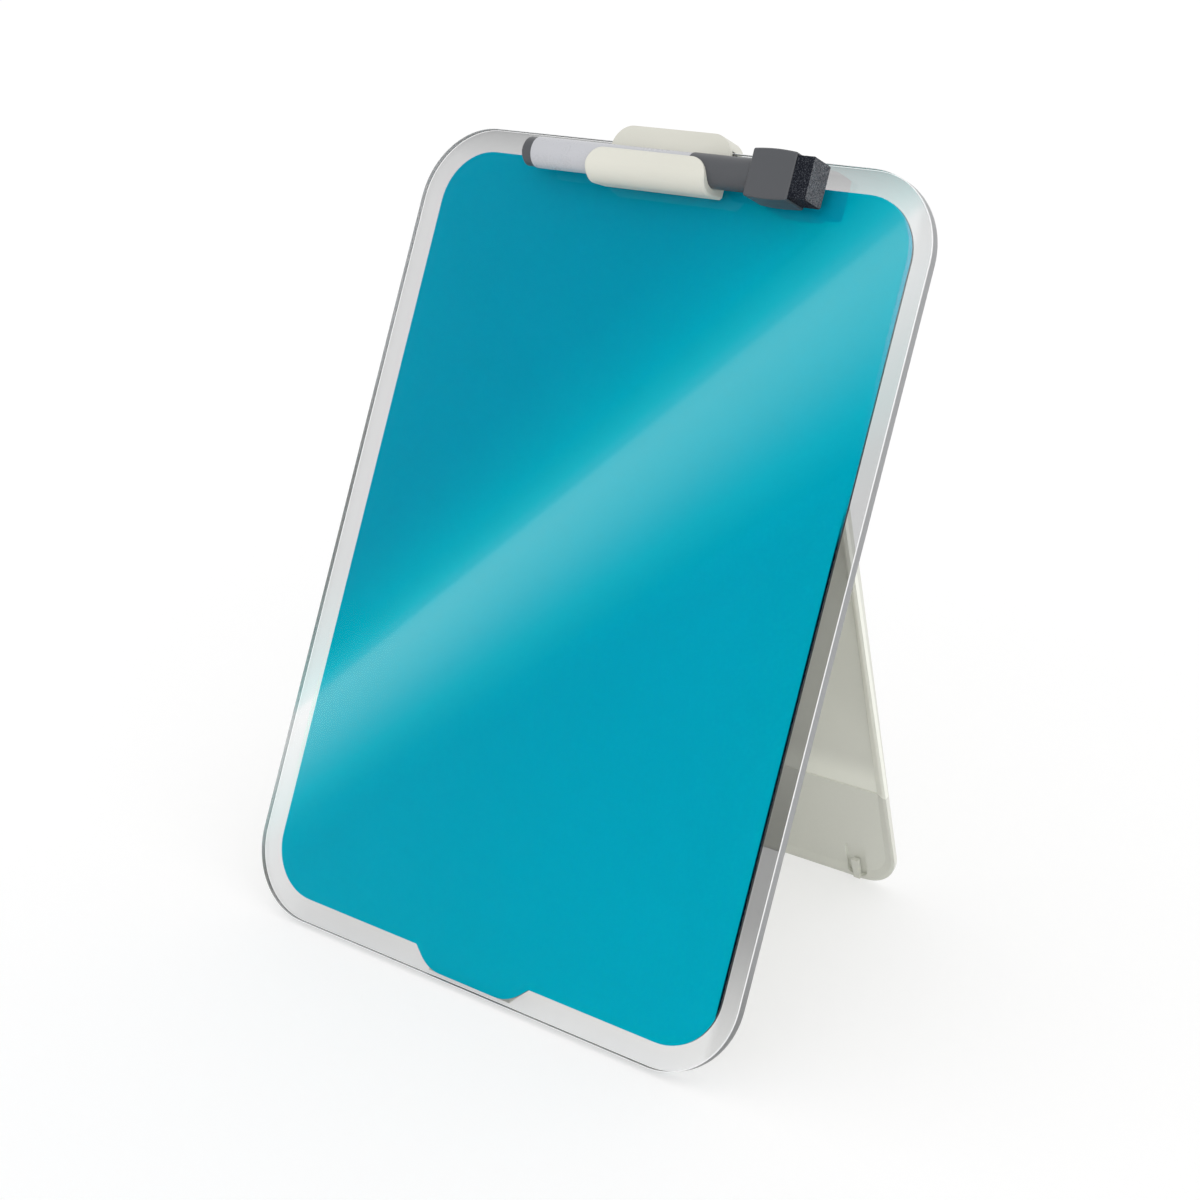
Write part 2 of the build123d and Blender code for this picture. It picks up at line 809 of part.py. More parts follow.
for name, piece in pieces.items():
    piece.part.label = name
    export_step(piece.part, f"parts/{name}.step")
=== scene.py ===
# %% [markdown]
# # A desk easel with a clear writing panel
#
# The solids of this easel come packed as a fixed frame: a clear panel on a coloured film and
# a steel sheet, a moulded cover and leg behind it, and a clip on the top edge that holds a
# marker. This file dresses them. Each step first says what the piece or finish is on the
# real easel, or is taken to be where that isn't known, and how it is made here. The scene
# is in metres, and a length written in millimetres is multiplied by mm.

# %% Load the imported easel
import math

import bmesh
import bpy
from mathutils import Matrix, Vector


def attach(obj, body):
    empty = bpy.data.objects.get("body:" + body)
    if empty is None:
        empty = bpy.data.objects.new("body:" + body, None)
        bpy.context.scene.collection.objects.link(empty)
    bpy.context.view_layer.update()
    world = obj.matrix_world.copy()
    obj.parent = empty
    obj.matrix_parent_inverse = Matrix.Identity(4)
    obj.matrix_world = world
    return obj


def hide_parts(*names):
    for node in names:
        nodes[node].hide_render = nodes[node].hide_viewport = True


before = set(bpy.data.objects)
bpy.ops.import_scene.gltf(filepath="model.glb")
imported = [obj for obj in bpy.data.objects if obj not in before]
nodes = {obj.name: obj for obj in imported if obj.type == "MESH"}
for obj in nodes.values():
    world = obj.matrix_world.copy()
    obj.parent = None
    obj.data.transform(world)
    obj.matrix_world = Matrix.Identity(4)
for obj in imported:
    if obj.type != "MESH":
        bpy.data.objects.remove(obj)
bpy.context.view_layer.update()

# %% [markdown]
# ## Where things are
#
# The board leans back, so its pieces are easiest to draw flat and then stand up. Flat
# coordinates run across the board, up the glass from its bottom edge, and out of the glass's
# front face towards the writer. One matrix stands a flat drawing up, and a Mapping node
# does the opposite for a pattern.

# %% Board coordinates
mm = 0.001
board_lean = math.radians(24.1)
board_foot = Vector((0, -10.3293, 2.1333)) * mm
up_board = Vector((0, math.sin(board_lean), math.cos(board_lean)))
out_of_board = Vector((0, -math.cos(board_lean), math.sin(board_lean)))
stand_up = Matrix(
    [
        (1, 0, 0, board_foot.x),
        (0, up_board.y, out_of_board.y, board_foot.y),
        (0, up_board.z, out_of_board.z, board_foot.z),
        (0, 0, 0, 1),
    ]
)
pen_height = 294 * mm
pen_depth = 7.8 * mm
stand_pen = stand_up @ Matrix.Translation((0, pen_height, pen_depth))
print("The glass's top edge is at", tuple(round(v, 4) for v in stand_up @ Vector((0, 0.303, 0))))

# %% [markdown]
# ## A small kit for finishes
#
# A finish is a Principled shader fed by a few procedural nodes. Written by hand, even a
# small sum takes many lines of nodes and links. So one class wraps a shader socket and lets
# it be added and multiplied like a number, and one method adds any other node.


# %% Sockets as numbers
class Wire:
    """A shader socket that takes part in sums."""

    def __init__(self, graph, socket):
        self.graph = graph
        self.socket = socket

    def maths(self, operation, first, second):
        return self.graph.node("ShaderNodeMath", {"operation": operation}, {0: first, 1: second})

    def most(self, other):
        return self.maths("MAXIMUM", self, other)

    def __add__(self, other):
        return self.maths("ADD", self, other)

    def __radd__(self, other):
        return self.maths("ADD", other, self)

    def __sub__(self, other):
        return self.maths("SUBTRACT", self, other)

    def __rsub__(self, other):
        return self.maths("SUBTRACT", other, self)

    def __mul__(self, other):
        return self.maths("MULTIPLY", self, other)

    def __rmul__(self, other):
        return self.maths("MULTIPLY", other, self)


class Graph:
    """A node tree that grows by one method."""

    def __init__(self, tree):
        self.tree = tree

    def join(self, value, socket):
        if isinstance(value, Wire):
            self.tree.links.new(value.socket, socket)
        else:
            socket.default_value = value

    def node(self, kind, settings=None, sockets=None, output=0):
        """Adds a node: its settings first, then the values or links of its sockets."""
        made = self.tree.nodes.new(kind)
        for name, value in (settings or {}).items():
            if name == "stops":
                ramp = made.color_ramp
                while len(ramp.elements) < len(value):
                    ramp.elements.new(1)
                for element, (place, colour) in zip(ramp.elements, value):
                    element.position = place
                    element.color = colour
            else:
                setattr(made, name, value)
        for key, value in (sockets or {}).items():
            self.join(value, made.inputs[key])
        return Wire(self, made.outputs[output])

    def seen(self):
        """1 for what a camera, a mirror or a window shows, and 0 for light on the easel."""
        camera, mirror, window = (self.node("ShaderNodeLightPath", output=k) for k in (0, 3, 6))
        return camera.most(mirror).most(window)


class Finish(Graph):
    """A material whose Principled shader starts from constants."""

    def __init__(self, name, **constants):
        self.material = bpy.data.materials.new(name)
        self.material.use_nodes = True
        super().__init__(self.material.node_tree)
        self.tree.nodes.clear()
        self.output = self.tree.nodes.new("ShaderNodeOutputMaterial")
        self.shader = self.tree.nodes.new("ShaderNodeBsdfPrincipled")
        self.tree.links.new(self.shader.outputs[0], self.output.inputs[0])
        for socket, value in constants.items():
            self.feed(socket.replace("_", " "), value)

    def feed(self, name, value):
        self.join(value, self.shader.inputs[name])

    def place(self, turn=(0, 0, 0), stretch=(1, 1, 1), move=(0, 0, 0)):
        """Object coordinates, turned, stretched and moved to suit one piece."""
        where = self.node("ShaderNodeTexCoord", output=3)
        return self.node(
            "ShaderNodeMapping",
            sockets={"Vector": where, "Location": move, "Rotation": turn, "Scale": stretch},
        )

    def axis(self, where, number):
        """One of the three coordinates of a place."""
        return self.node("ShaderNodeSeparateXYZ", sockets={0: where}, output=number)

    def along(self, direction, start=Vector()):
        """How far a point lies along a direction, in metres from a start."""
        return self.node(
            "ShaderNodeVectorMath",
            {"operation": "DOT_PRODUCT"},
            {0: self.place(move=-start), 1: direction},
            output=1,
        )

    def noise(self, grain, where, detail=2.0, roughness=0.5):
        """Soft random values from 0 to 1 whose blotches are about one grain across."""
        return self.node(
            "ShaderNodeTexNoise",
            sockets={"Vector": where, "Scale": 1 / grain, "Detail": detail, "Roughness": roughness},
        )

    def clamp(self, value, low, high):
        """0 below low, 1 above high and smooth between them."""
        return self.node(
            "ShaderNodeMapRange",
            {"interpolation_type": "SMOOTHSTEP"},
            {"Value": value, "From Min": low, "From Max": high},
        )

    def mix(self, factor, first, second, blend="MIX"):
        return self.node(
            "ShaderNodeMix",
            {"data_type": "RGBA", "blend_type": blend},
            {0: factor, 6: first, 7: second},
            output=2,
        )

    def ramp(self, value, low, high, stops):
        """A colour from a ramp that runs from low to high."""
        share = self.node(
            "ShaderNodeMapRange", sockets={"Value": value, "From Min": low, "From Max": high}
        )
        return self.node("ShaderNodeValToRGB", {"stops": stops}, {"Fac": share})

    def bump(self, height, depth):
        """Feeds a height from 0 to 1, worth depth metres, to the shader's normal."""
        self.feed(
            "Normal",
            self.node(
                "ShaderNodeBump", sockets={"Height": height, "Distance": depth, "Strength": 1.0}
            ),
        )


def paint(red, green, blue):
    """A colour picked from a chart in steps of 255, as the linear values a shader takes."""
    steps = [value / 255 for value in (red, green, blue)]
    linear = [s / 12.92 if s <= 0.04045 else ((s + 0.055) / 1.055) ** 2.4 for s in steps]
    return (*linear, 1.0)


def shade(colour, factor):
    """The same colour, lighter or darker."""
    return (*(min(value * factor, 1.0) for value in colour[:3]), 1.0)


# %% [markdown]
# ## Moulded plastic
#
# The cover, leg and clip are moulded in off-white plastic from a mould with a fine
# spark-eroded skin. Under a lamp that skin shows as a soft satin with a tiny grain, and the
# colour drifts a little over a large wall. One function makes every moulded finish from its
# colour, its gloss and the size of its grain.


# %% Moulded finishes
def moulded(name, colour, gloss, grain=0.35 * mm, depth=0.012 * mm, drift=0.03):
    finish = Finish(name, IOR=1.46)
    where = finish.place()
    skin = finish.noise(grain, where, detail=3.0, roughness=0.6)
    cloud = finish.noise(38 * mm, where, detail=2.0)
    rubbed = finish.noise(6 * mm, where, detail=4.0, roughness=0.7)
    darker, lighter = shade(colour, 1 - drift), shade(colour, 1 + drift / 2)
    finish.feed("Base Color", finish.mix(finish.clamp(cloud, 0.3, 0.7), darker, lighter))
    finish.feed("Roughness", gloss + 0.10 * (skin - 0.5) + 0.12 * (rubbed - 0.5))
    finish.bump(skin, depth)
    return finish.material


off_white = moulded("off_white_plastic", paint(224, 223, 212), 0.42)
dark_grey = moulded("dark_plastic", paint(77, 79, 83), 0.40, grain=0.28 * mm)
pale_grey = moulded("barrel_plastic", paint(196, 197, 202), 0.28, grain=0.5 * mm, depth=0.004 * mm)
natural = moulded("holder_plastic", paint(214, 214, 210), 0.35)
liner_white = moulded("liner_plastic", paint(228, 228, 220), 0.30)
print("Mixed five moulded finishes.")

# %% [markdown]
# ## The leg's dish
#
# Below a low step the floor of the leg's dish is glossier, which is taken for a polish of the
# mould round the catches. The dish faces down and gets little light, so above the step its
# colour is painted lighter than the rest of the leg, as painted light; below the step it keeps
# the leg's own colour, so there it looks darker. The leg's own coordinates say where that is:
# out of its rear face, and up the leg from the hinge.

# %% The leg's finish
leg_slant = math.radians(18.05)
hinge_place = Vector((0, 142.19, 156.20)) * mm  # in the leg's own coordinates
step_height, step_blur = -154 * mm, 0.2 * mm
dish_face, dish_blur = -0.9 * mm, 0.1 * mm
# Above the step the dish is painted lighter, as painted light for a face that gets little light.
dish_painted_light_above, dish_tone_below = 1.25, 1.0
leg_colour = paint(228, 229, 220)

leg_finish = Finish("leg_plastic", IOR=1.46)
on_leg = leg_finish.place(turn=(-leg_slant, 0, 0), move=-hinge_place)
out_of_leg, up_leg = (leg_finish.axis(on_leg, number) for number in (1, 2))
below_step = leg_finish.clamp(step_height - up_leg, -step_blur, step_blur)
in_dish = leg_finish.clamp(dish_face - out_of_leg, -dish_blur, dish_blur)
polished = below_step * in_dish
leg_skin = leg_finish.noise(0.35 * mm, leg_finish.place(), detail=3.0, roughness=0.6)
leg_cloud = leg_finish.clamp(leg_finish.noise(38 * mm, leg_finish.place()), 0.3, 0.7)
leg_tone = leg_finish.mix(leg_cloud, shade(leg_colour, 0.97), shade(leg_colour, 1.015))
dish_tone_with_painted_light = leg_finish.mix(
    below_step, shade(leg_colour, dish_painted_light_above), shade(leg_colour, dish_tone_below)
)
leg_finish.feed("Base Color", leg_finish.mix(in_dish, leg_tone, dish_tone_with_painted_light))
leg_finish.feed("Roughness", 0.42 - 0.16 * polished + 0.10 * (leg_skin - 0.5))
leg_finish.bump(leg_skin * (1 - 0.7 * polished), 0.012 * mm)
leg_white = leg_finish.material

# %% [markdown]
# ## Rubber, foam, fibre and steel
#
# The feet are soft grey rubber with a dull, dusty skin. The foam pads show small cells, and
# the ink reservoir is a bundle of fibres that run along the pen. The pins are drawn steel,
# whose fine lines run along the wire, and the screws share that finish as it lies. The
# magnetic sheet is painted a dark teal-black, which also serves as painted shade: its edge
# shows as a dark line beside the film.


# %% Other finishes
def rubbery(name, colour, grain, depth):
    finish = Finish(name, IOR=1.5)
    where = finish.place()
    cells = finish.node(
        "ShaderNodeTexVoronoi", sockets={"Vector": where, "Scale": 1 / grain, "Randomness": 1.0}
    )
    dust = finish.noise(9 * mm, where, detail=5.0, roughness=0.65)
    dusty = finish.clamp(dust, 0.45, 0.8)
    finish.feed("Base Color", finish.mix(dusty, colour, shade(colour, 1.25)))
    finish.feed("Roughness", 0.72 + 0.2 * dust)
    finish.bump(cells, depth)
    return finish.material


def drawn_steel(name, turn):
    finish = Finish(name, Base_Color=paint(196, 196, 198), Metallic=1.0)
    lines = finish.noise(0.25 * mm, finish.place(turn=turn, stretch=(0.04, 1, 1)), detail=4.0)
    finish.feed("Roughness", 0.22 + 0.25 * lines)
    finish.bump(lines, 0.006 * mm)
    return finish.material


def fibre(name, colour, stretch):
    finish = Finish(name, Roughness=0.9)
    strands = finish.noise(0.22 * mm, finish.place(stretch=stretch), detail=4.0, roughness=0.7)
    pale = finish.clamp(strands, 0.4, 0.7)
    finish.feed("Base Color", finish.mix(pale, shade(colour, 0.7), shade(colour, 1.5)))
    finish.bump(strands, 0.08 * mm)
    return finish.material


grey_rubber = rubbery("light_rubber", paint(178, 178, 175), 0.3 * mm, 0.03 * mm)
foam = rubbery("foam", paint(226, 226, 222), 0.8 * mm, 0.15 * mm)
pin_steel = drawn_steel("pin_steel", (0, 0, 0))
reservoir_fibre = fibre("reservoir_fibre", paint(70, 70, 78), (0.08, 1, 1))
nib_felt = fibre("nib_felt", paint(34, 34, 38), (0.15, 1, 1))

# The sheet's dark paint also stands in as painted shade where its edge shows beside the film.
sheet_paint_and_shade = Finish("sheet_steel", Specular_IOR_Level=0.1)
paint_skin = sheet_paint_and_shade.noise(0.6 * mm, sheet_paint_and_shade.place(), detail=3.0)
sheet_paint_and_shade.feed("Base Color", sheet_paint_and_shade.mix(paint_skin, paint(2, 20, 30), paint(4, 28, 38)))
sheet_paint_and_shade.feed("Roughness", 0.45 + 0.15 * paint_skin)
sheet_paint_and_shade.bump(paint_skin, 0.01 * mm)
print("Mixed rubber, foam, steel and fibres.")

# %% [markdown]
# ## Teal film
#
# The colour is a lacquered film under the glass. It is even and dense, with only the faint
# cloudiness of a printed coat and a fine grain. Its teal is painted lighter from the top left
# to the bottom right, as painted light across the streak. Its own surface has no gloss: all
# the gloss that shows is the glass's. A dark margin is painted along the low part of its right
# edge, as painted shade in place of a dark line beside the leg, whose real cause isn't known.
# The Mapping node lays the pattern flat on the board.

# %% The film's finish
streak_start = Vector((0.85, 186.2, 0)) * mm
streak_across = Vector((0.727, -0.687, 0))
light_ramp_before, light_ramp_after = 30 * mm, 150 * mm
# The teal is painted lighter towards the bottom right, as painted light across the streak.
teal_and_painted_light_tones = [(0.0, paint(0, 180, 213)), (0.4, paint(0, 196, 226)), (1.0, paint(0, 203, 230))]
shade_line_starts, shade_line_full = 98.3 * mm, 98.7 * mm
shade_line_fades, shade_line_gone = 178 * mm, 200 * mm

film = Finish("teal_film", Specular_IOR_Level=0.0)
on_film = film.place(turn=(board_lean - math.pi / 2, 0, 0))
coat = film.noise(60 * mm, on_film, detail=3.0)
print_grain = film.noise(0.5 * mm, on_film, detail=2.0)
down_right = stand_up.to_3x3() @ streak_across
light_ramp_zero = down_right.dot(stand_up @ streak_start)
teal_with_painted_light = film.ramp(
    film.along(down_right), light_ramp_zero - light_ramp_before, light_ramp_zero + light_ramp_after, teal_and_painted_light_tones
)
cloudy = film.mix(
    film.clamp(coat, 0.25, 0.75), (0.985, 0.985, 0.985, 1), (1.01, 1.01, 1.01, 1)
)
film_colour_and_painted_light = film.mix(1.0, teal_with_painted_light, cloudy, blend="MULTIPLY")
# Painted shade: a dark line along the low part of the film's right edge.
painted_shade_margin = film.clamp(film.axis(film.place(), 0), shade_line_starts, shade_line_full) * (
    1 - film.clamp(film.along(up_board, board_foot), shade_line_fades, shade_line_gone)
)
film.feed("Base Color", film.mix(painted_shade_margin, film_colour_and_painted_light, paint(0, 16, 34)))
film.feed("Roughness", 0.75 + 0.1 * print_grain)
film.bump(print_grain, 0.002 * mm)

# %% [markdown]
# ## Black felt
#
# The eraser is pressed wool felt: very dark, with pale flecks of fibre and a rough skin. The
# solid is a plain block, so the piece that shows is made again: a block's corners are
# rounded by a bevel, its faces are subdivided into small ones, and each vertex moves a
# little along its normal by a noise, as the fibres stand out of a cut face.

# %% The felt's finish
def pressed_felt(name, dark, pale, grain, fleck_low, fleck_high):
    finish = Finish(name, Roughness=0.95, Specular_IOR_Level=0.2)
    where = finish.place()
    fleck = finish.noise(grain, where, detail=4.0, roughness=0.75)
    tuft = finish.noise(0.9 * mm, where, detail=3.0, roughness=0.6)
    finish.feed("Base Color", finish.mix(finish.clamp(fleck, fleck_low, fleck_high), dark, pale))
    finish.bump(fleck * 0.7 + tuft * 0.3, 0.25 * mm)
    return finish.material


felt_grain = 0.36 * mm
felt_side = pressed_felt(
    "black_felt", paint(14, 18, 28), paint(104, 107, 114), felt_grain, 0.50, 0.70
)
# The end's paler felt is painted light, for the face that turns to the side sun.
felt_end_painted_light = pressed_felt(
    "painted_light_felt_end", paint(58, 60, 66), paint(142, 144, 148), felt_grain, 0.40, 0.66
)

# %% [markdown]
# ## Glass
#
# The panel is 4 mm clear glass. Each part of its skin gets its own finish. The front is
# polished. Over the film its gloss is written with less red and a little less blue. That is
# set to keep the teal deep, and doesn't say that the real panel is coated. Behind
# the film's outline nothing is reflected twice, because the film touches the glass there.
# Outside it the back is written as a thin smoke-grey lacquer, which makes the border
# silvery. Its tone is set place by place, as painted light and shade: clear at the bottom
# edge, darker higher up and on the right, a little darker at the bottom left, and darkest
# along the top edge and low on the right. The narrow walls are ground, so they are dull and
# grey, and darker low down.


# %% The glass's finishes
def panel_glass(name, tint, **constants):
    finish = Finish(name, Transmission_Weight=1.0, IOR=1.5, Roughness=0.0, **constants)
    depth = finish.noise(60 * mm, finish.place(), detail=2.0)
    finish.feed("Base Color", finish.mix(depth, shade(tint, 0.99), shade(tint, 1.01)))
    return finish.material


def ground_glass(name, tint, low_level, gloss, clearness):
    """Dull glass whose tint falls to its low level towards the panel's bottom edge."""
    finish = Finish(name, Transmission_Weight=clearness, IOR=1.5)
    scuffed = finish.noise(1.2 * mm, finish.place(), detail=4.0, roughness=0.7)
    low_tone, tone = (
        finish.mix(scuffed, shade(tint, 0.94 * level), shade(tint, 1.06 * level))
        for level in (low_level, 1)
    )
    high_up = finish.clamp(finish.along(up_board, board_foot), 0, 70 * mm)
    finish.feed("Base Color", finish.mix(high_up, low_tone, tone))
    finish.feed("Roughness", gloss + 0.2 * (scuffed - 0.5))
    finish.bump(scuffed, 0.01 * mm)
    return finish.material


water_white = (0.985, 0.995, 0.995, 1.0)
glass_clear = panel_glass("glass", water_white)
glass_over_film = panel_glass("glass_over_film", water_white, Specular_Tint=(0.36, 1.0, 0.8, 1.0))
glass_on_film = panel_glass("glass_on_film", water_white, Specular_Tint=(0.0, 0.0, 0.0, 1.0))
glass_wall = ground_glass("ground_glass", (0.53, 0.54, 0.55, 1.0), 0.45, 0.4, 0.45)
# The arris's pale tint is a painted highlight along the rim.
glass_arris_painted_highlight = ground_glass("glass_arris_painted_highlight", (0.95, 0.96, 0.97, 1.0), 1.0, 0.25, 0.12)

# %% The lacquer's tone
# The lacquer's tones are painted light and shade, set place by place.
lacquer_top = 303 * mm
lacquer_light_and_shade_tones = (
    (0.0, 1.0), (0.06, 0.92), (0.2, 0.56), (0.9, 0.47), (0.96, 0.40), (1.0, 0.18)
)
painted_shade_black, painted_shade_smoky = (0.0, 0.0, 0.0, 1), (0.1, 0.1, 0.105, 1)

smoke_and_painted_light = Finish("smoke_lacquer_painted_light", Transmission_Weight=1.0, IOR=1.5, Roughness=0.0)
up_panel = smoke_and_painted_light.along(up_board, board_foot)
across_panel = smoke_and_painted_light.axis(smoke_and_painted_light.place(), 0)
lacquer_with_painted_light = smoke_and_painted_light.ramp(
    up_panel, 0, lacquer_top, [(at, (tone, tone, 1.01 * tone, 1)) for at, tone in lacquer_light_and_shade_tones]
)
# Darker on the right, low on the right and at the bottom left: painted shade.
right_side_shade = smoke_and_painted_light.clamp(across_panel, 97 * mm, 101 * mm)
low_right_shade = right_side_shade * smoke_and_painted_light.clamp(up_panel, 12 * mm, 60 * mm)
low_right_shade = low_right_shade * (1 - smoke_and_painted_light.clamp(up_panel, 75 * mm, 150 * mm))
low_left_shade = (1 - smoke_and_painted_light.clamp(across_panel, -60 * mm, 20 * mm)) * (
    1 - smoke_and_painted_light.clamp(up_panel, 12 * mm, 60 * mm)
)
lacquer_with_painted_light = smoke_and_painted_light.mix(0.3 * right_side_shade + 0.2 * low_left_shade, lacquer_with_painted_light, painted_shade_black)
smoke_and_painted_light.feed("Base Color", smoke_and_painted_light.mix(0.75 * low_right_shade, lacquer_with_painted_light, painted_shade_smoky))
glass_smoke_and_painted_light = smoke_and_painted_light.material
print("Mixed film, felt and glass.")


# %% [markdown]
# ## Making a piece
#
# A new piece is drawn in a bmesh, stood up by its matrix, and given its finish and its body,
# and the solid that it stands for is hidden.


# %% Finish a mesh as a piece
def make_piece(name, mesh, matrix, finishes, node, body):
    bmesh.ops.transform(mesh, matrix=matrix, verts=mesh.verts)
    bmesh.ops.recalc_face_normals(mesh, faces=mesh.faces)
    data = bpy.data.meshes.new(name)
    mesh.to_mesh(data)
    mesh.free()
    for finish in finishes:
        data.materials.append(finish)
    piece = bpy.data.objects.new(name, data)
    bpy.context.scene.collection.objects.link(piece)
    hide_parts(node)
    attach(piece, body)
    print(f"{name}: {len(data.polygons)} faces")
    return piece


def bevel(mesh, edges, width, segments):
    return bmesh.ops.bevel(
        mesh, geom=edges, offset=width, segments=segments, profile=0.5, affect="EDGES", material=-1
    )


# %% [markdown]
# ## The glass panel
#
# Two outlines are drawn flat: the panel's, and the film's with its tab at the bottom. Each
# starts as a few corners, which a bevel rounds. The ring between the outlines and the face
# inside the film's are filled, so that each can have its own finish, and both are extruded
# to just under the glass's thickness, which keeps their back off the film's face. Then the
# sharp rim edges are bevelled to an arris, whose pale finish is a painted highlight: it draws
# the fine bright line round the panel.


# %% Draw a rounded outline
def rounded_outline(mesh, corners):
    """Adds a face through corners of (u, v, radius, turn in degrees) and returns its edges."""
    known = set(mesh.edges)
    points = [mesh.verts.new((u * mm, v * mm, 0)) for u, v, _, _ in corners]
    mesh.faces.new(points)
    for point, (_, _, radius, turn) in zip(points, corners):
        bmesh.ops.bevel(
            mesh, geom=[point], offset=radius * mm * math.tan(math.radians(turn) / 2),
            segments=max(5, turn // 4), profile=0.5, affect="VERTICES", material=-1,
        )
    return [edge for edge in mesh.edges if edge not in known]


# %% Glass panel
glass_height, glass_depth = 303, 3.97
half, panel_radius = 107.5, 28.5
border, tab_border = 8.3, 1.4
film_half, film_radius = half - border, panel_radius - border
tab_half, tab_slope, tip_radius, root_radius = 25.6, 43, 14, 4
tab_foot = tab_half - (border - tab_border) / math.tan(math.radians(tab_slope))
arris = 0.3 * mm

glass = bmesh.new()
panel_edges = rounded_outline(
    glass,
    [
        (-half, 0, panel_radius, 90),
        (half, 0, panel_radius, 90),
        (half, glass_height, panel_radius, 90),
        (-half, glass_height, panel_radius, 90),
    ],
)
bmesh.ops.delete(glass, geom=glass.faces[:], context="FACES_ONLY")
film_edges = rounded_outline(
    glass,
    [
        (-film_half, border, film_radius, 90),
        (-tab_half, border, root_radius, tab_slope),
        (-tab_foot, tab_border, tip_radius, tab_slope),
        (tab_foot, tab_border, tip_radius, tab_slope),
        (tab_half, border, root_radius, tab_slope),
        (film_half, border, film_radius, 90),
        (film_half, glass_height - border, film_radius, 90),
        (-film_half, glass_height - border, film_radius, 90),
    ],
)
bmesh.ops.triangle_fill(glass, use_beauty=True, edges=panel_edges + film_edges)
walls = bmesh.ops.extrude_face_region(glass, geom=glass.faces[:])
back_rim = [v for v in walls["geom"] if isinstance(v, bmesh.types.BMVert)]
bmesh.ops.translate(glass, vec=(0, 0, -glass_depth * mm), verts=back_rim)
glass.normal_update()
rim_edges = [e for e in glass.edges if len(e.link_faces) == 2 and e.calc_face_angle(0) > 1.2]
bevel(glass, rim_edges, arris, 3)
glass.normal_update()
for face in glass.faces:
    inside = len(face.verts) > 50
    flat = abs(face.normal.z) > 0.99
    front = face.calc_center_median().z > -glass_depth * mm / 2
    face.smooth = not flat
    if flat:
        face.material_index = (1 if inside else 0) if front else (2 if inside else 3)
    elif abs(face.normal.z) < 0.1:
        face.material_index = 4
    elif front:
        face.material_index = 5
glass_panel = make_piece(
    "glass_panel_polished", glass, stand_up,
    [glass_clear, glass_over_film, glass_on_film, glass_smoke_and_painted_light, glass_wall, glass_arris_painted_highlight],
    "glass_panel", "board",
)

# %% [markdown]
# ## The felt eraser
# The block is drawn in the pen's own coordinates: along the pen, up the board, and out of
# the board. Its end, which faces the side sun, is painted paler as painted light. Its end is paler,
# so it is taken to be cut, which shows the fibres' ends.

# %% Felt eraser
felt_box = (Vector((53.3, -7.4, -5.75)) * mm, Vector((65.05, 7.4, 5.75)) * mm)
felt_mesh = bmesh.new()
bmesh.ops.create_cube(felt_mesh, size=1)
bmesh.ops.scale(felt_mesh, vec=felt_box[1] - felt_box[0], verts=felt_mesh.verts)
bmesh.ops.translate(felt_mesh, vec=(felt_box[0] + felt_box[1]) / 2, verts=felt_mesh.verts)
bevel(felt_mesh, felt_mesh.edges[:], 0.7 * mm, 2)
long_edges = [edge for edge in felt_mesh.edges if edge.calc_length() > 3 * mm]
bmesh.ops.subdivide_edges(felt_mesh, edges=long_edges, cuts=23, use_grid_fill=True)
felt_mesh.normal_update()
# Faces turned to the side sun take the end's painted-light felt.
for face in felt_mesh.faces:
    face.material_index = 1 if face.normal.x > 0.9 else 0
felt_eraser = make_piece(
    "felt_eraser_pressed", felt_mesh, stand_pen, [felt_side, felt_end_painted_light],
    "felt_eraser", "cap",
)
fuzz = bpy.data.textures.new("felt_fuzz", "CLOUDS")
fuzz.noise_scale = 0.8 * mm
roughen = felt_eraser.modifiers.new("felt_fuzz", "DISPLACE")
roughen.texture = fuzz
roughen.texture_coords = "LOCAL"
roughen.strength = 0.28 * mm
roughen.mid_level = 0.75

# %% [markdown]
# ## Finishes for the solids
#
# The other solids have the right shape already, so they only get their finish.

# %% Dress the solids
dress = {
    "colour_film": film.material,
    "steel_sheet": sheet_paint_and_shade.material,
    "foam_pads": foam,
    "back_cover": off_white,
    "front_foot": grey_rubber,
    "hinge_cap_left": off_white,
    "hinge_cap_right": off_white,
    "hinge_screws": pin_steel,
    "hinge_pin_left": pin_steel,
    "hinge_pin_right": pin_steel,
    "support_leg": leg_white,
    "leg_foot_left": grey_rubber,
    "leg_foot_right": grey_rubber,
    "pen_clip": off_white,
    "clip_liner": liner_white,
    "marker_barrel": pale_grey,
    "end_plug": dark_grey,
    "ink_reservoir": reservoir_fibre,
    "nib_holder": natural,
    "marker_nib": nib_felt,
    "marker_cap": dark_grey,
    "inner_cap": natural,
}
for name, finish in dress.items():
    nodes[name].data.materials.clear()
    nodes[name].data.materials.append(finish)
print(f"Dressed {len(dress)} solids.")

# %% [markdown]
# ## Camera
#
# The camera stands to the right of the board, above it, and looks down a little.

# %% Camera
camera_data = bpy.data.cameras.new("camera")
camera_data.sensor_width = 36
camera_data.lens = 59.856
camera_drop, camera_turn = 20.84, 36.88  # degrees below level and round to the right
camera = bpy.data.objects.new("camera", camera_data)
camera.location = Vector((401.6, -464.6, 378.1)) * mm
camera.rotation_euler = (math.radians(90 - camera_drop), 0, math.radians(camera_turn))
bpy.context.scene.collection.objects.link(camera)
bpy.context.scene.camera = camera

# %% [markdown]
# ## Floor
#
# The floor is a wide, pale sheet. It throws most light back onto the easel. To a camera it
# shows half by its light and half by a glow, so that it is white around the easel, and the
# easel's soft shadow stays on it, but fainter.

# %% Floor
floor_albedo, floor_seen_albedo, floor_seen_glow = 0.92, 0.55, 0.5

